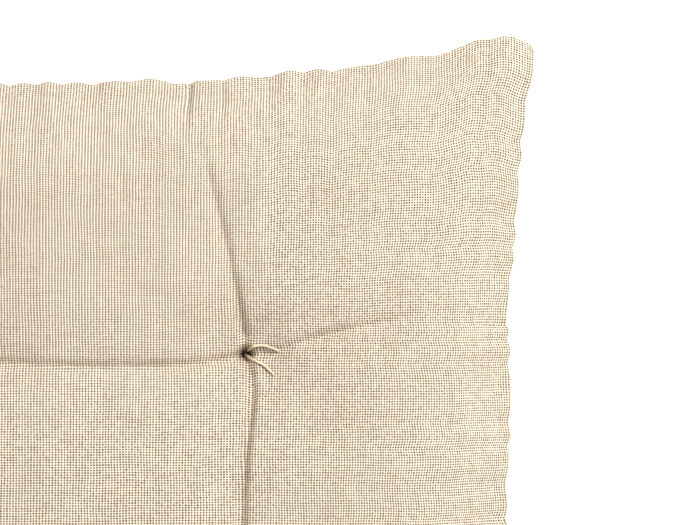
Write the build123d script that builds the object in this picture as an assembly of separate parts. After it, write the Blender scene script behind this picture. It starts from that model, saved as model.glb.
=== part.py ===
"""Tufted chair seat pad, in millimetres.

Two square cloth panels are sewn round their edges with the raw edges turned in, filled with three layers
of polyester fibre, and drawn together at four tufts by twine that is knotted on the upper side.
The pad lies on the plane z = 0 with its upper side towards +Z, centred on the Z axis.
"""

import math
import os

from build123d import *

# Driving dimensions
SIDE = 400.0  # from corner tip to corner tip, each way
PULL_IN = 12.0  # how far each side bows inwards at its middle
HEIGHT = 46.0  # the upper panel's crown above the seat
SEAM_Z = 20.0  # the plane where the two panels are sewn together
CORNER_R = 4.0  # the turned corner's tip
LEAST_CORNER_R = 1.0  # for the outlines drawn inside it
CLOTH = 0.8  # the panels' cloth
ALLOWANCE = 10.0  # the raw edges' width inside the seam
ALLOWANCE_GAP = 0.3  # from the seam's plane to each allowance; the seam thread lies between the two
TUFT_SPACING = 160.0  # square grid of four tufts
TUFT_TOP_Z = 33.0  # where the upper panel is drawn down to
TUFT_BOTTOM_Z = 12.0  # where the lower panel is drawn up to
TWINE_D = 1.4
TWINE_STITCH = 3.2  # between the twine's two passes through the pad
TWINE_EASE = 0.2  # play round the twine in its holes, under its knots, and beside the closing stitches
TWINE_BEND = 0.8  # the bends under the pad, in twine diameters
KNOT_D = 5.0
KNOT_GRIP = 0.75  # how far under the knot's centre the strands end, in twine diameters
TAIL_LIFT = 1.3  # the cut ends' height over the upper panel, in twine diameters
BAR_DROP = 0.25  # the twine's clearance under the lower panel's tuft
CORE_SHARE = 0.45  # the middle layer's share of the filling's thickness
CORE_INSET = 24.0  # the middle layer stops this far inside the panels
SEAM_THREAD_D = 0.5
CLOSING_LENGTH = 180.0  # the gap that the filling went in through, at the middle of the left side
CLOSING_STITCHES = 30
CLOSING_SHARE = 0.6  # a closing stitch's length in its pitch

# Shape of the pad's two faces
HALF = SIDE / 2
EDGE_HALF = 2.4  # half the thickness at the seam, clear of the allowances inside it
CROWN_POWER = 6  # how late each face falls away towards its sides
DIMPLE_R = 20.0  # a tuft's dimple falls to 1/e of its depth here
VALLEY_R = 13.0  # likewise for the valley along each row of tufts
VALLEY_TOP = 3.0  # the valleys' depth in the upper face
UNDER_SEAT = 3.0  # the lower face's form dips this far below z = 0, where the seat flattens it
GRID_STEP = 12.0  # between the points that each face's form is drawn through
GRID_HALF = HALF + 10.0
TUFTS = {
    "rear_right": (TUFT_SPACING / 2, TUFT_SPACING / 2),
    "rear_left": (-TUFT_SPACING / 2, TUFT_SPACING / 2),
    "front_right": (TUFT_SPACING / 2, -TUFT_SPACING / 2),
    "front_left": (-TUFT_SPACING / 2, -TUFT_SPACING / 2),
}
# The two cut ends of each tie: heading in degrees at the knot, heading at the end, and length
TAILS = {
    "rear_right": ((40, -35, 14.0), (-35, -65, 13.0)),
    "rear_left": ((20, -30, 13.0), (-60, -20, 15.0)),
    "front_right": ((65, 15, 15.0), (-25, 10, 12.5)),
    "front_left": ((135, 95, 13.5), (-30, -70, 14.0)),
}


def fullness(x, y):
    """How full the pad is at a point: 1 in the middle and 0 on its outline."""
    half_x = HALF - PULL_IN * (1 - (y / HALF) ** 2)
    half_y = HALF - PULL_IN * (1 - (x / HALF) ** 2)
    across = 1 - abs(x / half_x) ** CROWN_POWER
    along = 1 - abs(y / half_y) ** CROWN_POWER
    return across * along if across > 0 and along > 0 else -abs(across * along)


def gather(x, y):
    """How far the tufts draw a face in at a point, from 0 to 1 at a tuft."""
    nearest = min(math.hypot(x - tx, y - ty) for tx, ty in TUFTS.values())
    return math.exp(-((nearest / DIMPLE_R) ** 2))


def valley(x, y):
    """The shallow folds along the rows of tufts, from 0 to 1."""
    row = TUFT_SPACING / 2
    return max(
        math.exp(-(((abs(x) - row) / VALLEY_R) ** 2)),
        math.exp(-(((abs(y) - row) / VALLEY_R) ** 2)),
    )


def top_z(x, y):
    full = (HEIGHT - SEAM_Z - EDGE_HALF) * fullness(x, y)
    folded = full - VALLEY_TOP * valley(x, y) * max(0.0, fullness(x, y))
    drawn = TUFT_TOP_Z - SEAM_Z - EDGE_HALF
    return SEAM_Z + EDGE_HALF + folded + (drawn - folded) * gather(x, y)


def bottom_z(x, y):
    full = (SEAM_Z - EDGE_HALF + UNDER_SEAT) * fullness(x, y)
    drawn = SEAM_Z - EDGE_HALF - TUFT_BOTTOM_Z
    return SEAM_Z - EDGE_HALF - full + (full - drawn) * gather(x, y)


def face_form(height):
    """A spline face through height(x, y) on a grid wider than the pad."""
    count = round(2 * GRID_HALF / GRID_STEP)
    places = [-GRID_HALF + 2 * GRID_HALF * i / count for i in range(count + 1)]
    rows = [[(x, y, height(x, y)) for y in places] for x in places]
    return Face.make_surface_from_array_of_points(rows, min_deg=3, max_deg=3)


def outline(inset=0.0):
    """The pad's outline: four sides that bow inwards and meet at small round tips."""
    tip, waist = HALF - inset, HALF - PULL_IN - inset
    corners = [(tip, tip), (-tip, tip), (-tip, -tip), (tip, -tip)]
    middles = [(0, waist), (-waist, 0), (0, -waist), (waist, 0)]
    sides = [
        ThreePointArc(corners[i], middles[i], corners[(i + 1) % 4]) for i in range(4)
    ]
    square = make_face(sides)
    return fillet(square.vertices(), max(CORNER_R - inset, LEAST_CORNER_R))


def prism(face, low, high):
    return extrude(Pos(0, 0, low) * face, high - low)


TOP_FORM = face_form(top_z)
BOTTOM_FORM = face_form(bottom_z)
FORM_REACH = 80.0  # more than the pad's height


def upper_half(inset):
    """What lies over the seam's plane, drawn in by inset at the sides and the top."""
    form = Solid.extrude(Pos(0, 0, -inset) * TOP_FORM, Vector(0, 0, -FORM_REACH))
    return prism(outline(inset), SEAM_Z, FORM_REACH) & form


def lower_half(inset):
    """What lies under the seam's plane, with the flat that the pad rests on."""
    form = Solid.extrude(Pos(0, 0, inset) * BOTTOM_FORM, Vector(0, 0, FORM_REACH))
    return prism(outline(inset), inset, SEAM_Z) & form


def middle_layer():
    """The middle of the filling, thinner in step with the pad where the tufts squeeze it."""
    upper = face_form(lambda x, y: SEAM_Z + CORE_SHARE * (top_z(x, y) - SEAM_Z))
    lower = face_form(lambda x, y: SEAM_Z + CORE_SHARE * (bottom_z(x, y) - SEAM_Z))
    slab = prism(outline(CORE_INSET), 0, HEIGHT)
    below_upper = Solid.extrude(upper, Vector(0, 0, -FORM_REACH))
    above_lower = Solid.extrude(lower, Vector(0, 0, FORM_REACH))
    return slab & below_upper & above_lower


def tube(path, diameter):
    start = Plane(origin=path @ 0, z_dir=path % 0)
    return sweep(start * Circle(diameter / 2), path=path)


def tail_path(x, y, z, heading, last_heading, length):
    """A cut end of twine: an arc that leaves the knot and comes down close over the upper panel."""
    points = []
    for share in (0.0, 0.5, 1.0):
        angle = math.radians(heading + (last_heading - heading) * share / 2)
        end_x = x + length * share * math.cos(angle)
        end_y = y + length * share * math.sin(angle)
        points.append((end_x, end_y, top_z(end_x, end_y) + TAIL_LIFT * TWINE_D))
    return ThreePointArc((x, y, z), *points[1:])


def tuft_tie(name):
    """One length of twine: down through the pad, across under it, up again, and knotted on top."""
    x, y = TUFTS[name]
    radius, half = TWINE_D / 2, TWINE_STITCH / 2
    knot_z = TUFT_TOP_Z + KNOT_D / 2 + TWINE_EASE
    bar_z = TUFT_BOTTOM_Z - radius - BAR_DROP
    inside = knot_z - KNOT_GRIP * TWINE_D
    turns = [(x - half, inside), (x - half, bar_z), (x + half, bar_z), (x + half, inside)]
    loop = FilletPolyline(*[(tx, y, tz) for tx, tz in turns], radius=TWINE_D * TWINE_BEND)
    tie = tube(loop, TWINE_D) + Pos(x, y, knot_z) * Sphere(KNOT_D / 2)
    for heading, last_heading, length in TAILS[name]:
        tie += tube(tail_path(x, y, knot_z, heading, last_heading, length), TWINE_D)
    return tie


def twine_holes():
    """What the ties' passes leave open in the cloth and the filling."""
    radius = TWINE_D / 2 + TWINE_EASE
    return [
        Pos(x + side * TWINE_STITCH / 2, y, HEIGHT / 2) * Cylinder(radius, HEIGHT)
        for x, y in TUFTS.values()
        for side in (-1, 1)
    ]


def seam_thread():
    """The lockstitch round the pad, lying between the two allowances."""
    wire = (Pos(0, 0, SEAM_Z) * outline(CLOTH + SEAM_THREAD_D)).face().outer_wire()
    return tube(wire, SEAM_THREAD_D)


def closing_stitches():
    """The slip stitches that close the gap in the left side after filling."""
    pitch = CLOSING_LENGTH / CLOSING_STITCHES
    stitch = Rot(X=90) * Cylinder(SEAM_THREAD_D / 2, pitch * CLOSING_SHARE)
    stitches = []
    for i in range(CLOSING_STITCHES):
        y = -CLOSING_LENGTH / 2 + (i + 0.5) * pitch
        bow = PULL_IN * (y / HALF) ** 2
        turn = math.degrees(2 * PULL_IN * y / HALF**2)
        x = -(HALF - PULL_IN + bow + SEAM_THREAD_D / 2 + TWINE_EASE)
        stitches.append(Pos(x, y, SEAM_Z) * Rot(Z=turn) * stitch)
    return stitches


def cut(solid, tools):
    for tool in tools:
        solid = solid - tool
    return solid


def write(name, shape):
    solids = shape.solids()
    whole = Compound(children=list(solids), label=name) if len(solids) > 1 else solids[0]
    export_step(whole, f"parts/{name}.step")


def main():
    os.makedirs("parts", exist_ok=True)
    holes = twine_holes()
    rim = outline(CLOTH / 2) - outline(CLOTH + ALLOWANCE)
    turned_in = ALLOWANCE_GAP + CLOTH
    middle = middle_layer()
    halves = {
        "upper": (upper_half, SEAM_Z, SEAM_Z + turned_in, SEAM_Z + ALLOWANCE_GAP),
        "lower": (lower_half, SEAM_Z - turned_in, SEAM_Z, SEAM_Z - turned_in),
    }
    for side, (half, low, high, cloth_low) in halves.items():
        cavity = half(CLOTH)
        panel = (half(0.0) - cavity) + prism(rim, cloth_low, cloth_low + CLOTH)
        filling = cavity - prism(rim, low, high) - middle
        write(f"cover_{side}_panel", cut(panel, holes))
        write(f"fibre_layer_{side}", cut(filling, holes))
    write("fibre_layer_middle", cut(middle, holes))
    write("seam_thread", seam_thread())
    write("closing_stitches", Compound(children=closing_stitches()))
    for name in TUFTS:
        write(f"tuft_tie_{name}", tuft_tie(name))


main()
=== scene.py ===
"""Looks of the tufted chair seat pad: cloth simulated in Blender over the CAD frame, in metres."""

import math

import bpy
import numpy as np
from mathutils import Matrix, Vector


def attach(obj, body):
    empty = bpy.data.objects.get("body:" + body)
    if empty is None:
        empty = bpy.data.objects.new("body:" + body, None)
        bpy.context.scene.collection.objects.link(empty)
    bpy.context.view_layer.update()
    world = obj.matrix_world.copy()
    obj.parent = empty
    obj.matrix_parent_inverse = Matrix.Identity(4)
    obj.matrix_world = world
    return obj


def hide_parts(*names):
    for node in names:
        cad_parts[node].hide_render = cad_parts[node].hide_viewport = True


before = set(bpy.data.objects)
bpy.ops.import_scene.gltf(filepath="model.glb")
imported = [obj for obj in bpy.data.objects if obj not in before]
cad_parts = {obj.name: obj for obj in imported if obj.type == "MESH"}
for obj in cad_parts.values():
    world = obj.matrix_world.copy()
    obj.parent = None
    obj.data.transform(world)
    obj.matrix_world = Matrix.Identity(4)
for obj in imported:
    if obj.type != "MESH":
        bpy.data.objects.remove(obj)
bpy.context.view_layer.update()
scene = bpy.context.scene
MM = 0.001

# ------------------------------------------------------------------ sizes, in millimetres
TUFT = 80.0  # tufts stand at plus and minus this
CELLS = 76  # grid cells across a panel in the simulation
TUFT_CELLS = 15  # of them from the middle to a tuft
CUT = TUFT / TUFT_CELLS * CELLS / 2  # half the cut panel's side, seam to seam, measured flat
CORNERS = {"rear_right": (1, 1), "rear_left": (-1, 1), "front_right": (1, -1), "front_left": (-1, -1)}
SEAM_Z = 20.0
TOP_TUFT_Z, BOTTOM_TUFT_Z = 33.0, 12.0
TWINE_D = 1.4
FOLD_DEPTH, FOLD_WIDTH = 3.1, 1.5  # the sharp folds in the valleys
SEAM_FOLD_DEPTH, SEAM_FOLD_WIDTH = 3.0, 1.4  # the short folds that start at the seam
PUCKER = 0.6  # the seam's puckers, in height
PIT_DEPTHS = (7.5, -2.0)  # at each tuft, over and under the pad
PIT_RADII = (3.9, 2.1)
TIP_ROUNDING, TIP_REACH = 1.9, 3.2
THREAD_GAP_ACROSS_X, THREAD_GAP_ACROSS_Y = 1.19, 1.02
STITCH_PITCH = 3.2
CLOSING_STITCHES = 30
VIEW_WIDTH = 280.0  # what the camera takes in at the pad

# Where the finished seam runs: the tip of each corner, and the middle of each side
TIPS = {
    (1, 1): (198.0, 210.0),
    (-1, 1): (-201.0, 202.5),
    (1, -1): (202.0, -200.5),
    (-1, -1): (-198.5, -203.0),
}
MIDDLES = {"right": 186.0, "rear": 189.5, "left": -187.5, "front": -188.5}
BOWS = {"right": 3.4, "rear": 2.2, "left": 2.8, "front": 3.0}  # how late a side leaves its middle line
EARS = {"right": 0.5, "rear": 4.0, "left": 1.5, "front": 1.5}  # how far its tips fall back
# Where a side is nicked by a fold that reaches it: place along it, depth, width
NICKS = {
    "right": [(94, 1.2, 4.0)],
    "rear": [(84, 1.3, 4.5), (166, 1.4, 4.5)],
    "left": [(-60, 1.0, 4.0)],
    "front": [(22, 1.2, 4.0)],
}
SWELLS = {"right": 0.0, "rear": 1.9, "left": 0.8, "front": 1.0}  # how far the ear stands out before its tip


# ------------------------------------------------------------------ small helpers
def smooth(edge0, edge1, x):
    t = np.clip((x - edge0) / (edge1 - edge0), 0, 1)
    return t * t * (3 - 2 * t)


class Waves:
    """Smooth seeded noise: a sum of plane waves, about -1 to 1."""

    def __init__(self, seed, scale, count=24):
        rng = np.random.default_rng(seed)
        angle = rng.uniform(0, 2 * math.pi, count)
        k = 2 * math.pi / (scale * rng.uniform(0.7, 1.6, count))
        self.kx, self.ky = k * np.cos(angle), k * np.sin(angle)
        self.phase = rng.uniform(0, 2 * math.pi, count)
        self.gain = math.sqrt(1 / count)

    def __call__(self, x, y=0.0):
        x, y = np.broadcast_arrays(np.asarray(x, float), np.asarray(y, float))
        total = np.zeros(x.shape)
        for kx, ky, phase in zip(self.kx, self.ky, self.phase):
            total += np.sin(kx * x + ky * y + phase)
        return total * self.gain


def mesh_object(name, verts, faces):
    mesh = bpy.data.meshes.new(name)
    mesh.from_pydata(np.asarray(verts, float).tolist(), [], np.asarray(faces).tolist())
    mesh.update()
    obj = bpy.data.objects.new(name, mesh)
    scene.collection.objects.link(obj)
    mesh.polygons.foreach_set("use_smooth", [True] * len(mesh.polygons))
    return obj


def plate(name, reach, z):
    """A level square, in metres."""
    corners = [(-reach, -reach, z), (reach, -reach, z), (reach, reach, z), (-reach, reach, z)]
    return mesh_object(name, corners, [(0, 1, 2, 3)])


def coords(mesh):
    co = np.empty(len(mesh.vertices) * 3)
    mesh.vertices.foreach_get("co", co)
    return co.reshape(-1, 3)


# ------------------------------------------------------------------ creases
def smooth_path(points, step):
    """A Catmull-Rom line through the points, resampled at about step."""
    p = np.array(points, float)
    p = np.vstack([2 * p[0] - p[1], p, 2 * p[-1] - p[-2]])
    line = []
    for k in range(1, len(p) - 2):
        a, b, c, d = p[k - 1 : k + 3]
        count = max(2, int(np.linalg.norm(c - b) / step))
        t = np.linspace(0, 1, count, endpoint=False)[:, None]
        square, cube = 2 * a - 5 * b + 4 * c - d, 3 * b - a - 3 * c + d
        line.append(0.5 * (2 * b + (c - a) * t + square * t**2 + cube * t**3))
    line.append(p[-2:-1])
    return np.vstack(line)


# Between neighbouring tufts: points, depth of the valley, depth of the sharp fold in it
BETWEEN = [
    ([(80, 80), (82, 68), (81, 52), (79, 30), (78.5, -30), (80, -80)], 1.0, 1.0),
    ([(80, 80), (72, 78), (42, 75.5), (8, 75.5), (-30, 77.5), (-80, 80)], 0.9, 0.8),
    ([(-80, 80), (-78, 40), (-77.5, -20), (-80, -80)], 0.9, 0.7),
    ([(80, -80), (30, -82.5), (-30, -81.5), (-80, -80)], 0.9, 0.7),
]
# From a tuft to the seam
OUTWARD = [
    ([(80, 80), (78, 93), (69, 138), (64, 160), (62, 180)], 0.75, 0.8),
    ([(80, 80), (92, 81.5), (104, 86), (142, 96), (172, 102)], 0.6, 0.8),
    ([(-80, 80), (-125, 88), (-173, 92)], 0.7, 0.5),
    ([(-80, 80), (-79, 130), (-72, 178)], 0.7, 0.5),
    ([(80, -80), (128, -84), (172, -92)], 0.7, 0.5),
    ([(80, -80), (83, -130), (90, -176)], 0.7, 0.5),
    ([(-80, -80), (-128, -79), (-172, -72)], 0.7, 0.5),
    ([(-80, -80), (-73, -130), (-70, -177)], 0.7, 0.5),
]
# Short folds that start at the seam: points, depth
FROM_SEAM = [
    ([(57, 190), (56.5, 178), (56, 163)], 1.0),
    ([(71, 189), (71, 174)], 0.5),
    ([(-40, 190), (-43, 168)], 0.6),
    ([(186, 92), (172, 91)], 0.7),
    ([(187, -45), (168, -43)], 0.6),
    ([(-187, 35), (-166, 38)], 0.7),
    ([(-187, -110), (-170, -106)], 0.5),
    ([(20, -188), (22, -166)], 0.8),
    ([(-95, -190), (-91, -170)], 0.6),
    ([(130, -191), (126, -176)], 0.5),
]
# The pit that each tie draws the cloth into: its middle from the tuft, its direction in degrees
PITS = {
    "rear_right": (-0.6, 0.2, 35),
    "rear_left": (0.3, 0.4, 15),
    "front_right": (-0.3, 0.2, 75),
    "front_left": (0.3, 0.3, -50),
}


def along_path(x, y, path):
    """For each point: its distance from a path, the side it is on (1 is left), and how far along."""
    near = np.full(x.shape, 1e9)
    side = np.zeros(x.shape)
    place = np.zeros(x.shape)
    steps = len(path) - 1
    for k in range(steps):
        (ax, ay), (bx, by) = path[k], path[k + 1]
        dx, dy = bx - ax, by - ay
        length2 = dx * dx + dy * dy
        t = np.clip(((x - ax) * dx + (y - ay) * dy) / length2, 0, 1)
        ox, oy = x - ax - t * dx, y - ay - t * dy
        d = np.hypot(ox, oy)
        closer = d < near
        near = np.where(closer, d, near)
        side = np.where(closer, np.sign(dx * oy - dy * ox), side)
        place = np.where(closer, (k + t) / steps, place)
    return near, side, place


def valleys(x, y, width):
    """How deep the broad valleys are at a point, from 0 to 1."""
    deep = np.zeros(x.shape)
    for points, depth, _ in BETWEEN:
        near, _, _ = along_path(x, y, smooth_path(points, 4))
        deep = np.maximum(deep, depth * np.exp(-((near / width) ** 2)))
    for points, depth, _ in OUTWARD:
        near, _, place = along_path(x, y, smooth_path(points, 4))
        deep = np.maximum(deep, depth * np.exp(-((near / width) ** 2)) * (1 - 0.6 * place))
    return deep


def tuft_distance(x, y):
    return np.min([np.hypot(x - TUFT * a, y - TUFT * b) for a, b in CORNERS.values()], axis=0)


# ------------------------------------------------------------------ the cloth simulation
def panel_grid():
    """Both panels' vertices, laid flat, with those of the seam shared: (x, y, side), faces, index."""
    n = CELLS + 1
    index = -np.ones((2, n, n), int)
    flat = []
    for side in (0, 1):
        for i in range(n):
            for j in range(n):
                if side == 1 and (i in (0, n - 1) or j in (0, n - 1)):
                    index[1, i, j] = index[0, i, j]
                    continue
                index[side, i, j] = len(flat)
                flat.append((-CUT + 2 * CUT * i / CELLS, -CUT + 2 * CUT * j / CELLS, side))
    faces = []
    for side in (0, 1):
        g = index[side]
        quads = np.stack([g[:-1, :-1], g[1:, :-1], g[1:, 1:], g[:-1, 1:]], -1).reshape(-1, 4)
        faces.append(quads if side == 0 else quads[:, ::-1])
    return np.array(flat), np.concatenate(faces), index


def start_shape(flat):
    """The pad as the simulation starts: crowned, with its tufts drawn in and its valleys begun."""
    x, y, side = flat.T
    u, v = x / CUT, y / CUT
    px = x * (1 - 0.006 - 0.020 * (1 - v * v) * u * u)
    py = y * (1 - 0.006 - 0.020 * (1 - u * u) * v * v)
    full = (1 - np.abs(u) ** 5) * (1 - np.abs(v) ** 5)
    drawn = np.exp(-((tuft_distance(x, y) / 16) ** 2))
    top = (23.0 - 3.0 * valleys(x, y, 7)) * full
    top = top * (1 - drawn) + (TOP_TUFT_Z - SEAM_Z) * drawn
    low = -19.0 * full
    low = low * (1 - drawn) + (BOTTOM_TUFT_Z - SEAM_Z) * drawn
    return np.stack([px, py, SEAM_Z + np.where(side == 0, top, low)], 1)


def simulate(flat, faces, start):
    """Cloth under the filling's push, sewn at its edge, held at the tufts, on a flat seat."""
    rest = np.stack([flat[:, 0], flat[:, 1], SEAM_Z + np.where(flat[:, 2] == 0, 0.05, -0.05)], 1)
    obj = mesh_object("sim", rest * MM, faces)
    obj.shape_key_add(name="flat")
    key = obj.shape_key_add(name="start")
    key.data.foreach_set("co", (start * MM).ravel())
    key.value = 1.0
    held = obj.vertex_groups.new(name="held")
    held.add([int(k) for k in np.flatnonzero(tuft_distance(flat[:, 0], flat[:, 1]) < 3.2)], 1.0, "REPLACE")
    cloth = obj.modifiers.new("Cloth", "CLOTH")
    s = cloth.settings
    s.quality = 6
    s.mass = 0.02
    s.air_damping = 4.0
    s.tension_stiffness, s.compression_stiffness = 60.0, 12.0
    s.shear_stiffness = 3.0
    s.bending_stiffness = 1.4
    s.tension_damping = s.compression_damping = 12.0
    s.shear_damping = 4.0
    s.bending_damping = 0.5
    s.rest_shape_key = obj.data.shape_keys.key_blocks["flat"]
    s.vertex_group_mass = "held"
    s.pin_stiffness = 30.0
    s.use_pressure = True
    s.uniform_pressure_force = 1.2
    s.effector_weights.gravity = 0.0
    cloth.collision_settings.distance_min = 0.0004
    cloth.collision_settings.use_self_collision = False
    seat = plate("seat", 0.4, 0.0)
    seat.modifiers.new("Collision", "COLLISION")
    seat.collision.thickness_outer = 0.0004
    seat.collision.cloth_friction = 5.0
    last = 28
    cloth.point_cache.frame_start, cloth.point_cache.frame_end = 1, last
    for f in range(1, last + 1):
        scene.frame_set(f)
    dg = bpy.context.evaluated_depsgraph_get()
    result = coords(obj.evaluated_get(dg).to_mesh()).copy() / MM
    scene.frame_set(1)
    for o in (obj, seat):
        mesh = o.data
        bpy.data.objects.remove(o)
        bpy.data.meshes.remove(mesh)
    return result


# ------------------------------------------------------------------ finishing the form
def mesh_lines():
    """Where the finished mesh's lines run across a panel, from -1 to 1: closest where the folds are."""
    spans = [(-1.0, -90, 1.62), (-90, -70, 0.85), (-70, 54, 1.62), (54, 106, 0.8), (106, 1.0, 1.62)]
    lines = []
    for low, high, gap in spans:
        low = -CUT if low == -1.0 else low
        high = CUT if high == 1.0 else high
        lines.append(np.linspace(low, high, round((high - low) / gap), endpoint=False) / CUT)
    return np.append(np.concatenate(lines), 1.0)


def spline_matrix(count, places):
    """A cubic B-spline over a row of count points, evaluated at places from -1 to 1."""
    m = np.zeros((len(places), count))
    for r, place in enumerate(places):
        at = (place + 1) / 2 * (count - 1)
        k = min(int(at), count - 2)
        t = at - k
        second, third = 3 * t**3 - 6 * t**2 + 4, -3 * t**3 + 3 * t**2 + 3 * t + 1
        basis = [(1 - t) ** 3 / 6, second / 6, third / 6, t**3 / 6]
        for d, weight in zip((-1, 0, 1, 2), basis):
            q = k + d
            if q < 0:
                m[r, 0] += 2 * weight
                m[r, 1] -= weight
            elif q >= count:
                m[r, count - 1] += 2 * weight
                m[r, count - 2] -= weight
            else:
                m[r, q] += weight
    return m


def side_target(along, name, low_tip, high_tip, seed):
    """Where a side of the seam runs: its middle line, bowing out to its two tips, with small scallops."""
    middle, out = MIDDLES[name], np.sign(MIDDLES[name])
    t = np.clip(along, -1, 1)
    reach = np.where(t < 0, low_tip - middle, high_tip - middle)
    s = along * CUT
    phase = s / 15.0 + 0.45 * Waves(seed, 50, 10)(s)
    scallops = 1.2 * (np.abs(np.sin(math.pi * phase)) - 0.6) + 0.5 * Waves(seed + 1, 42, 10)(s)
    fall = EARS[name] * np.exp(-((((1 - np.abs(t)) * CUT) / 7.5) ** 2))
    swell = SWELLS[name] * np.exp(-(((s - 182) / 15) ** 2))
    nick = sum(deep * np.exp(-(((s - at) / wide) ** 2)) for at, deep, wide in NICKS[name])
    return middle + reach * np.abs(t) ** BOWS[name] + out * (scallops * (1 - t**12) + swell - fall - nick)


def fit_outline(p, u, v):
    """Moves the seam to where it should run, and what is near it by less and less."""
    rim = {"right": p[-1, :, 0], "left": p[0, :, 0], "rear": p[:, -1, 1], "front": p[:, 0, 1]}
    v1, u1 = v[0, :], u[:, 0]
    goal = {
        "right": side_target(v1, "right", TIPS[1, -1][0], TIPS[1, 1][0], 31),
        "left": side_target(v1, "left", TIPS[-1, -1][0], TIPS[-1, 1][0], 41),
        "rear": side_target(u1, "rear", TIPS[-1, 1][1], TIPS[1, 1][1], 51),
        "front": side_target(u1, "front", TIPS[-1, -1][1], TIPS[1, -1][1], 61),
    }
    move = {k: goal[k] - rim[k] for k in rim}
    p = p.copy()
    p[..., 0] += smooth(0.42, 1, u) * move["right"][None, :] + smooth(0.42, 1, -u) * move["left"][None, :]
    p[..., 1] += smooth(0.42, 1, v) * move["rear"][:, None] + smooth(0.42, 1, -v) * move["front"][:, None]
    return p


def normals(p):
    du, dv = np.gradient(p, axis=0), np.gradient(p, axis=1)
    n = np.cross(du, dv)
    return n / np.maximum(np.linalg.norm(n, axis=-1, keepdims=True), 1e-9)


def add_folds(p, u, v, top):
    """The sharp folds in the valleys, the short folds at the seam, its puckers, and small unevenness."""
    x, y = p[..., 0], p[..., 1]
    d = np.zeros(x.shape)
    if top:
        for table, fade in ((BETWEEN, 0.0), (OUTWARD, 1.0)):
            for k, (points, _, depth) in enumerate(table):
                near, side, place = along_path(x, y, smooth_path(points, 4))
                offset = side * near + 0.6 * Waves(100 + k, 60, 8)(x, y)
                ridges = np.exp(-(((np.abs(offset) - 4.2) / 2.2) ** 2))
                line = np.exp(-np.abs(offset / FOLD_WIDTH) ** 1.5) - 0.22 * ridges
                uneven = 0.9 + 0.25 * Waves(130 + k, 40, 8)(x, y)
                d -= FOLD_DEPTH * depth * line * (1 - fade * smooth(0.35, 1.05, place)) * uneven
        for points, depth in FROM_SEAM:
            near, _, place = along_path(x, y, smooth_path(points, 4))
            line = np.exp(-np.abs(near / SEAM_FOLD_WIDTH) ** 1.5)
            d -= SEAM_FOLD_DEPTH * depth * line * (1 - smooth(0.3, 1, place))
    rim = np.minimum(1 - np.abs(u), 1 - np.abs(v)) * CUT
    across = np.where(np.abs(u) > np.abs(v), y, x)
    which = np.where(np.abs(u) > np.abs(v), np.sign(u) * 300, np.sign(v) * 900)
    pucker = Waves(7 + top, 13, 14)(across + which, 0.0)
    d += PUCKER * pucker * np.exp(-(((rim - 5) / 6.0) ** 2))
    rest = smooth(2.0, 8.0, p[..., 2])
    d += (0.35 * Waves(3, 55)(x, y) + 0.16 * Waves(4, 19)(x, y)) * smooth(0, 14, rim)
    if not top:
        d = d * rest
    p = p + normals(p) * (d if top else -d)[..., None]
    for name, (a, b) in CORNERS.items():
        dx, dy, turn = PITS[name]
        c, w = math.cos(math.radians(turn)), math.sin(math.radians(turn))
        ox, oy = p[..., 0] - a * TUFT - dx, p[..., 1] - b * TUFT - dy
        far = np.hypot((ox * c + oy * w) / PIT_RADII[0], (oy * c - ox * w) / PIT_RADII[1])
        p[..., 2] -= PIT_DEPTHS[0 if top else 1] * np.exp(-(far**2))
    for a, b in CORNERS.values():
        tip = np.exp(-((1 - a * u) + (1 - b * v)) * CUT / TIP_REACH)
        p[..., 0] -= a * TIP_ROUNDING * tip
        p[..., 1] -= b * TIP_ROUNDING * tip
    return p


flat, faces, index = panel_grid()
shape = simulate(flat, faces, start_shape(flat))
n = CELLS + 1
at_tufts = np.flatnonzero(tuft_distance(flat[:, 0], flat[:, 1]) < 2)
tuft_now = np.mean(np.abs(shape[at_tufts, :2]))
grow = TUFT / tuft_now
shape[:, :2] *= grow
shape[:, 2] -= shape[:, 2].min()

line = mesh_lines()
spline = spline_matrix(n, line)
fine_n = len(line)
U, V = np.meshgrid(line, line, indexing="ij")
panels = []
for side in (0, 1):
    grid = shape[index[side]]
    fine = np.stack([spline @ grid[..., c] @ spline.T for c in range(3)], -1)
    fine = fit_outline(fine, U, V)
    fine = add_folds(fine, U, V, side == 0)
    panels.append(fine)
seam = (panels[0] + panels[1]) / 2
for side in (0, 1):
    for edge in (np.s_[0, :], np.s_[-1, :], np.s_[:, 0], np.s_[:, -1]):
        panels[side][edge] = seam[edge]
panels[1][..., 2] = np.maximum(panels[1][..., 2], 0.05)


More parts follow.
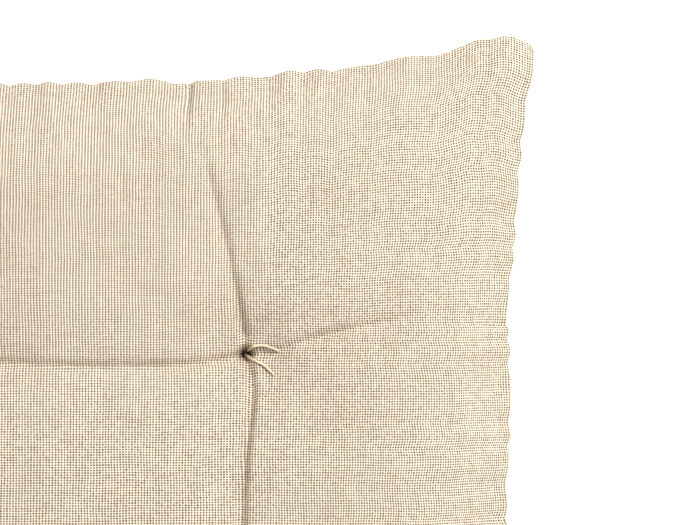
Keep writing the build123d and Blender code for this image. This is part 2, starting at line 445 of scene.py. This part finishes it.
# ------------------------------------------------------------------ materials
class Nodes:
    """Short forms for building a node material."""

    def __init__(self, name):
        self.mat = bpy.data.materials.new(name)
        self.mat.use_nodes = True
        self.tree = self.mat.node_tree
        self.bsdf = self.tree.nodes["Principled BSDF"]

    def new(self, kind, **settings):
        node = self.tree.nodes.new(kind)
        for key, value in settings.items():
            setattr(node, key, value)
        return node

    def link(self, a, b):
        self.tree.links.new(a, b)

    def put(self, socket, value):
        if isinstance(value, bpy.types.NodeSocket):
            self.link(value, socket)
        else:
            socket.default_value = value

    def math(self, op, a, b=0.0, c=0.0):
        node = self.new("ShaderNodeMath", operation=op)
        for socket, value in zip(node.inputs, (a, b, c)):
            self.put(socket, value)
        return node.outputs[0]

    def scaled(self, value, factor):
        return self.math("MULTIPLY", value, factor)

    def sum(self, first, *others):
        for other in others:
            first = self.math("ADD", first, other)
        return first

    def either(self, pick, a, b):
        """Value a where pick is 1, and b where it is 0."""
        return self.math("ADD", self.math("MULTIPLY", pick, self.math("SUBTRACT", a, b)), b)

    def mix(self, factor, a, b):
        node = self.new("ShaderNodeMix", data_type="RGBA")
        self.put(node.inputs[0], factor)
        self.put(node.inputs[6], a)
        self.put(node.inputs[7], b)
        return node.outputs[2]

    def ramp(self, value, low, high, to_low=0.0, to_high=1.0):
        node = self.new("ShaderNodeMapRange", interpolation_type="SMOOTHSTEP")
        for socket, v in zip(node.inputs, (value, low, high, to_low, to_high)):
            self.put(socket, v)
        return node.outputs[0]

    def noise(self, x, y, scale, detail=2.0):
        vector = self.new("ShaderNodeCombineXYZ")
        self.put(vector.inputs[0], x)
        self.put(vector.inputs[1], y)
        node = self.new("ShaderNodeTexNoise", noise_dimensions="2D")
        self.link(vector.outputs[0], node.inputs["Vector"])
        node.inputs["Scale"].default_value = scale
        node.inputs["Detail"].default_value = detail
        return node.outputs["Fac"]

    def random(self, w):
        node = self.new("ShaderNodeTexWhiteNoise", noise_dimensions="1D")
        self.put(node.inputs["W"], w)
        return node.outputs["Value"]

    def bump(self, height, distance, strength=1.0):
        node = self.new("ShaderNodeBump")
        self.put(node.inputs["Height"], height)
        node.inputs["Distance"].default_value = distance
        node.inputs["Strength"].default_value = strength
        self.link(node.outputs[0], self.bsdf.inputs["Normal"])

    def surface(self, roughness, specular=0.2, sheen=0.0):
        self.bsdf.inputs["Roughness"].default_value = roughness
        self.bsdf.inputs["Specular IOR Level"].default_value = specular
        self.bsdf.inputs["Sheen Weight"].default_value = sheen


def weave_material():
    """Coarse plain weave, laid out in the flat cut's own coordinates."""
    m = Nodes("natural plain weave")
    uv = m.new("ShaderNodeUVMap", uv_map="cloth")
    split = m.new("ShaderNodeSeparateXYZ")
    m.link(uv.outputs[0], split.inputs[0])
    x, y = split.outputs[0], split.outputs[1]
    drift_x = m.math("MULTIPLY", m.math("SUBTRACT", m.noise(x, y, 40.0), 0.5), 0.9)
    drift_y = m.math("MULTIPLY", m.math("SUBTRACT", m.noise(y, x, 36.0), 0.5), 0.9)
    s = m.math("ADD", m.math("DIVIDE", x, THREAD_GAP_ACROSS_X * MM), drift_x)
    t = m.math("ADD", m.math("DIVIDE", y, THREAD_GAP_ACROSS_Y * MM), drift_y)
    i, j = m.math("FLOOR", s), m.math("FLOOR", t)
    fs = m.math("SUBTRACT", m.math("SUBTRACT", s, i), 0.5)
    ft = m.math("SUBTRACT", m.math("SUBTRACT", t, j), 0.5)
    odd_i = m.math("SUBTRACT", 1.0, m.math("MULTIPLY", 2.0, m.math("FLOORED_MODULO", i, 2.0)))
    odd_j = m.math("SUBTRACT", 1.0, m.math("MULTIPLY", 2.0, m.math("FLOORED_MODULO", j, 2.0)))
    ri, rj = m.random(i), m.random(m.math("ADD", j, 777.5))
    slub_i = m.noise(m.math("MULTIPLY", i, 7.31), m.math("MULTIPLY", t, 0.045), 1.0, 3.0)
    slub_j = m.noise(m.math("MULTIPLY", s, 0.045), m.math("MULTIPLY", j, 5.77), 1.0, 3.0)
    width_i = m.sum(0.29, m.scaled(ri, 0.088), m.scaled(slub_i, 0.154))
    width_j = m.sum(0.28, m.scaled(rj, 0.104), m.scaled(slub_j, 0.208))
    round_i = m.math("SUBTRACT", 1.0, m.math("POWER", m.math("DIVIDE", m.math("ABSOLUTE", fs), width_i), 2.0))
    round_j = m.math("SUBTRACT", 1.0, m.math("POWER", m.math("DIVIDE", m.math("ABSOLUTE", ft), width_j), 2.0))
    over_i = m.math("MULTIPLY", odd_i, m.math("SINE", m.scaled(t, math.pi)))
    over_j = m.math("MULTIPLY", m.scaled(odd_j, -1.0), m.math("SINE", m.scaled(s, math.pi)))
    high_i = m.sum(0.14, m.scaled(round_i, 0.62), m.scaled(over_i, 0.26))
    high_j = m.sum(0.0, m.scaled(round_j, 0.55), m.scaled(over_j, 0.30))
    height = m.math("MAXIMUM", m.math("MAXIMUM", high_i, high_j), -0.5)
    warp_up = m.math("GREATER_THAN", high_i, high_j)
    lift = m.either(warp_up, ri, rj)
    slub = m.either(warp_up, slub_i, slub_j)
    tone = m.mix(warp_up, (0.885, 0.755, 0.61, 1), (0.92, 0.80, 0.66, 1))
    tone = m.mix(m.ramp(slub, 0.48, 0.78, 0.0, 0.55), tone, (0.70, 0.55, 0.39, 1))
    tone = m.mix(m.ramp(m.noise(x, y, 20.0, 3.0), 0.35, 0.7, 0.0, 0.15), tone, (0.80, 0.67, 0.52, 1))
    tone = m.mix(m.math("MULTIPLY", m.math("SUBTRACT", 1.0, lift), 0.15), tone, (0.30, 0.20, 0.12, 1))
    # painted shade: a thread is painted darker, down to near black, where it dips under the thread that
    # crosses it
    shaded_yarn_tone = m.mix(m.ramp(height, -0.40, 0.60), (0.16, 0.11, 0.07, 1), tone)
    # painted shade in the holes where four threads meet, no two alike: they are painted near black brown for
    # the shadowed filling seen between the threads, and every other one is a little smaller for how the light
    # falls on the crossings
    ci, cj = m.math("ROUND", s), m.math("ROUND", t)
    odd = m.math("FLOORED_MODULO", m.math("ADD", ci, cj), 2.0)
    chance = m.random(m.math("ADD", m.scaled(ci, 1.37), m.scaled(cj, 91.73)))
    reach = m.sum(0.33, m.scaled(chance, 0.09), m.scaled(odd, -0.02))
    off_s, off_t = m.math("SUBTRACT", s, ci), m.math("SUBTRACT", t, cj)
    away = m.math("SQRT", m.math("ADD", m.math("MULTIPLY", off_s, off_s), m.math("MULTIPLY", off_t, off_t)))
    closed = m.ramp(away, m.scaled(reach, 0.6), m.scaled(reach, 1.35))
    painted_hole_shade = m.scaled(m.math("SUBTRACT", 1.0, closed), 0.96)
    # the painted shade of the holes goes over the yarn colour here
    colour = m.mix(painted_hole_shade, shaded_yarn_tone, (0.07, 0.04, 0.02, 1))
    m.link(colour, m.bsdf.inputs["Base Color"])
    m.bump(height, 0.00035, 0.6)
    m.surface(0.92, 0.15, 0.05)
    return m.mat


def fibre_material():
    m = Nodes("polyester fibre")
    where = m.new("ShaderNodeNewGeometry")
    split = m.new("ShaderNodeSeparateXYZ")
    m.link(where.outputs["Position"], split.inputs[0])
    fluff = m.noise(split.outputs[0], m.math("ADD", split.outputs[1], split.outputs[2]), 260.0, 6.0)
    m.link(m.mix(fluff, (0.80, 0.80, 0.78, 1), (0.95, 0.95, 0.93, 1)), m.bsdf.inputs["Base Color"])
    m.bump(fluff, 0.0006)
    m.surface(0.95, 0.1)
    return m.mat


def yarn_material(name, pale, deep, strands):
    """Twisted yarn: fine slanting fibres over its own length (v) and girth (u)."""
    m = Nodes(name)
    uv = m.new("ShaderNodeUVMap", uv_map="yarn")
    split = m.new("ShaderNodeSeparateXYZ")
    m.link(uv.outputs[0], split.inputs[0])
    slant = m.math("ADD", m.scaled(split.outputs[0], 9.0), m.scaled(split.outputs[1], 2600.0))
    fibre = m.noise(slant, m.math("MULTIPLY", split.outputs[1], 500.0), 1.0, 3.0)
    m.link(m.mix(m.ramp(fibre, 0.3, 0.7), deep, pale), m.bsdf.inputs["Base Color"])
    m.bump(fibre, 0.00012, 0.8)
    m.surface(0.8, 0.25)
    return m.mat


WEAVE = weave_material()
FIBRE = fibre_material()
TWINE = yarn_material("cream twine", (0.93, 0.83, 0.60, 1), (0.70, 0.56, 0.35, 1), 2)
THREAD = yarn_material("sewing thread", (0.84, 0.76, 0.62, 1), (0.62, 0.54, 0.42, 1), 2)


def finish_piece(obj, material, slot, *nodes):
    obj.data.materials.append(material)
    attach(obj, "root")
    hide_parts(*nodes)
    return obj


# ------------------------------------------------------------------ the cover
def grid_quads(count):
    g = np.arange(count * count).reshape(count, count)
    return np.stack([g[:-1, :-1], g[1:, :-1], g[1:, 1:], g[:-1, 1:]], -1).reshape(-1, 4)


def add_uv(obj, name, per_vertex):
    """A UV map from one pair of values for each vertex."""
    layer = obj.data.uv_layers.new(name=name)
    loops = np.empty(len(obj.data.loops), int)
    obj.data.loops.foreach_get("vertex_index", loops)
    layer.data.foreach_set("uv", np.asarray(per_vertex, float)[loops].ravel())


quads = grid_quads(fine_n)
cut_uv = np.stack([U * CUT * grow * MM, V * CUT * grow * MM], -1).reshape(-1, 2)
for side, name in ((0, "upper"), (1, "lower")):
    outward = quads if side == 0 else quads[:, ::-1]
    cover = mesh_object(f"cover_{name}_cloth", panels[side].reshape(-1, 3) * MM, outward)
    add_uv(cover, "cloth", cut_uv + (0.5 * side, 0))
    finish_piece(cover, WEAVE, "cover_cloth", f"cover_{name}_panel")

# ------------------------------------------------------------------ the filling
LAYERS = {"lower": (0.0, 0.28), "middle": (0.28, 0.72), "upper": (0.72, 1.0)}


def inner_face(side):
    """What the filling's face may reach: the cloth, or the lowest of it within 7 mm, less its thickness."""
    z = panels[side][..., 2]
    pick = np.minimum if side == 0 else np.maximum
    near = z.copy()
    for axis in (0, 1):
        for shift in range(-5, 6):
            near = pick(near, np.roll(z, shift, axis))
        z = near.copy()
    inner = panels[side].copy()
    inner[..., 2] = near + (-1.2 if side == 0 else 1.2)
    return inner[12:-12:4, 12:-12:4]


top_grid, low_grid = inner_face(0), inner_face(1)
top_grid[..., 2] = np.maximum(top_grid[..., 2], low_grid[..., 2] + 1.5)
m_n = top_grid.shape[0]
sheet_quads = grid_quads(m_n)
up, down, last_row = np.arange(m_n - 1), np.arange(m_n - 1, 0, -1), (m_n - 1) * m_n
ring = np.concatenate([up * m_n, last_row + up, down * m_n + m_n - 1, down])
for name, (low, high) in LAYERS.items():
    verts = np.concatenate([(low_grid + (top_grid - low_grid) * s).reshape(-1, 3) for s in (high, low)]) * MM
    nxt = np.roll(ring, -1)
    wall = np.stack([ring, ring + m_n * m_n, nxt + m_n * m_n, nxt], -1)
    closed_form = np.concatenate([sheet_quads, sheet_quads[:, ::-1] + m_n * m_n, wall])
    layer = mesh_object(f"fibre_{name}_fill", verts, closed_form)
    finish_piece(layer, FIBRE, "fibre", f"fibre_layer_{name}")


# ------------------------------------------------------------------ twine and threads
def yarn(points, diameter, strands=2, twist=3.2, taper=(1.0, 1.0), step=0.22, sides=8):
    """Vertices, faces and UVs of a plied yarn along a line, in millimetres."""
    path = smooth_path(points, step)
    gaps = np.linalg.norm(np.diff(path, axis=0), axis=1)
    run = np.concatenate([[0], np.cumsum(gaps)])
    tangent = np.gradient(path, axis=0)
    tangent /= np.linalg.norm(tangent, axis=1, keepdims=True)
    up = np.array([0.13, 0.21, 0.97])
    frames = []
    for t in tangent:
        up = up - t * (up @ t)
        up /= np.linalg.norm(up)
        frames.append((up.copy(), np.cross(t, up)))
    share = run / run[-1]
    scale = taper[0] + (taper[1] - taper[0]) * share**1.5
    verts, faces, uvs = [], [], []
    ply = diameter * (0.5 if strands == 1 else 0.36)
    for s in range(strands):
        base = len(verts)
        for k, (c, (e1, e2)) in enumerate(zip(path, frames)):
            a = 2 * math.pi * (run[k] / twist + s / strands)
            off = 0 if strands == 1 else diameter * 0.13 * scale[k]
            middle = c + off * (math.cos(a) * e1 + math.sin(a) * e2)
            for q in range(sides):
                b = 2 * math.pi * q / sides + a
                verts.append(middle + ply * scale[k] * (math.cos(b) * e1 + math.sin(b) * e2))
                uvs.append((q / sides, run[k] * MM))
        rings = len(path)
        for k in range(rings - 1):
            for q in range(sides):
                r = (q + 1) % sides
                here, there = base + k * sides, base + (k + 1) * sides
                faces.append((here + q, here + r, there + r, there + q))
        for k, turn in ((0, 1), (rings - 1, -1)):
            centre = len(verts)
            verts.append(path[k] + tangent[k] * (-0.12 if k == 0 else 0.2))
            uvs.append((0.5, run[k] * MM))
            for q in range(sides):
                r = (q + 1) % sides
                a, b = base + k * sides + q, base + k * sides + r
                faces.append((b, a, centre, centre) if turn > 0 else (a, b, centre, centre))
    return verts, [f if f[2] != f[3] else f[:3] for f in faces], uvs


def yarn_object(name, pieces):
    verts, faces, uvs = [], [], []
    for v, f, t in pieces:
        faces += [tuple(k + len(verts) for k in face) for face in f]
        verts += v
        uvs += t
    mesh = bpy.data.meshes.new(name)
    mesh.from_pydata([tuple(c * MM for c in v) for v in verts], [], faces)
    mesh.polygons.foreach_set("use_smooth", [True] * len(mesh.polygons))
    obj = bpy.data.objects.new(name, mesh)
    scene.collection.objects.link(obj)
    add_uv(obj, "yarn", uvs)
    return obj


def surface_z(x, y, side=0):
    """The cloth's height over a point, in millimetres."""
    p = panels[side]
    i = np.unravel_index(np.argmin((p[..., 0] - x) ** 2 + (p[..., 1] - y) ** 2), p.shape[:2])
    return float(p[i][2])


# Each tie's two cut ends: points (x, y, height over the cloth) from the knot outwards
TAILS = {
    "rear_right": [
        [(0.2, 0.9, 0.2), (2.6, 3.0, 1.4), (5.4, 3.9, 1.6), (9.0, 3.5, 1.2), (13.6, 1.7, 0.8)],
        [(-0.8, 0.3, 0.2), (1.2, -1.0, 1.5), (3.8, -2.2, 1.5), (7.5, -4.0, 1.2), (11.7, -7.8, 0.8)],
    ],
    "rear_left": [
        [(0.2, 0.6, 0.2), (3.0, 2.6, 1.4), (7.0, 2.6, 1.3), (12.5, 0.4, 0.8)],
        [(-0.6, 0.0, 0.2), (1.0, -2.4, 1.4), (4.2, -6.0, 1.3), (10.0, -10.5, 0.8)],
    ],
    "front_right": [
        [(0.3, 0.5, 0.2), (1.5, 3.6, 1.4), (4.4, 7.0, 1.3), (7.8, 12.2, 0.8)],
        [(-0.4, 0.0, 0.2), (2.6, -1.8, 1.4), (6.6, -2.6, 1.3), (12.4, -2.2, 0.8)],
    ],
    "front_left": [
        [(-0.2, 0.6, 0.2), (-2.2, 3.4, 1.4), (-3.2, 7.2, 1.3), (-4.0, 12.9, 0.8)],
        [(0.6, 0.0, 0.2), (3.0, -2.6, 1.4), (5.2, -6.2, 1.3), (8.4, -10.8, 0.8)],
    ],
}
for name, (a, b) in CORNERS.items():
    cx, cy = TUFT * a, TUFT * b
    z0 = surface_z(cx, cy)
    under = surface_z(cx, cy, 1)
    pieces = []
    for tail in TAILS[name]:
        line = [(cx + x, cy + y, max(surface_z(cx + x, cy + y), z0) + h) for x, y, h in tail]
        pieces.append(yarn(line, TWINE_D, taper=(1.0, 0.72)))
    turn = [
        (cx + 1.5 * math.cos(w), cy + 0.3 + math.sin(w), z0 + 0.5 + 0.35 * math.sin(2 * w))
        for w in np.linspace(0, 1.75 * math.pi, 9)
    ]
    pieces.append(yarn(turn, TWINE_D * 0.9))
    for s in (-1, 1):
        x = cx + s * 1.5
        strand = [(x, cy, z0 + 0.6), (x, cy, (z0 + under) / 2), (x, cy, under - 0.4)]
        pieces.append(yarn(strand, TWINE_D, step=0.6))
    bar = [(cx - 1.6, cy, under - 0.5), (cx, cy, under - 0.8), (cx + 1.6, cy, under - 0.5)]
    pieces.append(yarn(bar, TWINE_D))
    finish_piece(yarn_object(f"tie_{name}", pieces), TWINE, "twine", f"tuft_tie_{name}")

edge = np.concatenate([seam[-1, :-1], seam[::-1, -1][:-1], seam[0, ::-1][:-1], seam[:, 0][:-1]])
gaps = np.linalg.norm(np.diff(np.vstack([edge, edge[:1]]), axis=0), axis=1)
run = np.concatenate([[0], np.cumsum(gaps)])
loop = np.vstack([edge, edge[:1]])
middle = loop.mean(0)


def on_seam(s, inward, lift):
    p = np.array([np.interp(s % run[-1], run, loop[:, c]) for c in range(3)])
    back = middle - p
    back[2] = 0
    return p + back / np.linalg.norm(back) * inward + (0, 0, lift)


stitches = []
for k in range(int(run[-1] / STITCH_PITCH)):
    s = k * STITCH_PITCH
    places = ((0.0, 0.45, 0.0), (0.36, 0.32, 0.06), (0.72, 0.45, 0.0))
    points = [on_seam(s + STITCH_PITCH * share, inward, lift) for share, inward, lift in places]
    stitches.append(yarn(points, 0.45, 1, step=0.7, sides=6))
finish_piece(yarn_object("seam_stitching", stitches), THREAD, "sewing_thread", "seam_thread")

left = [k for k in range(len(loop) - 1) if loop[k, 0] < -150 and abs(loop[k, 1]) < 90]
s0, s1 = run[left].min(), run[left].max()
stitches = []
for k in range(CLOSING_STITCHES):
    s = s0 + (s1 - s0) * (k + 0.5) / CLOSING_STITCHES
    points = [on_seam(s - 1.5, 0.1, 0.35), on_seam(s, -0.12, 0.0), on_seam(s + 1.5, 0.1, -0.35)]
    stitches.append(yarn(points, 0.5, 1, step=0.7, sides=6))
finish_piece(yarn_object("closing_stitching", stitches), THREAD, "sewing_thread", "closing_stitches")

# ------------------------------------------------------------------ stage, light and camera
floor = plate("floor", 6.0, -0.0001)
pale = Nodes("pale floor")
pale.bsdf.inputs["Base Color"].default_value = (0.98, 0.98, 0.98, 1)
pale.surface(1.0, 0.0)
floor.data.materials.append(pale.mat)


def softbox(name, place, target, width, energy):
    data = bpy.data.lights.new(name, "AREA")
    data.shape, data.size, data.energy = "SQUARE", width, energy
    obj = bpy.data.objects.new(name, data)
    scene.collection.objects.link(obj)
    obj.location = place
    obj.rotation_euler = (Vector(target) - Vector(place)).to_track_quat("-Z", "Y").to_euler()


softbox("key", (0.78, 0.72, 1.55), (0.1, 0.1, 0.02), 0.6, 38)
world = bpy.data.worlds.new("studio")
scene.world = world
world.use_nodes = True
world.node_tree.nodes["Background"].inputs[0].default_value = (1, 1, 1, 1)
world.node_tree.nodes["Background"].inputs[1].default_value = 0.50
scene.view_settings.view_transform = "Standard"

DISTANCE = 1.4
camera_data = bpy.data.cameras.new("camera")
camera = bpy.data.objects.new("camera", camera_data)
scene.collection.objects.link(camera)
scene.camera = camera
camera_data.sensor_width = 36.0
camera_data.lens = camera_data.sensor_width * DISTANCE / (VIEW_WIDTH * MM)
camera_data.clip_start, camera_data.clip_end = 0.05, 20
camera.location = (0.122, 0.117, 0.035 + DISTANCE)
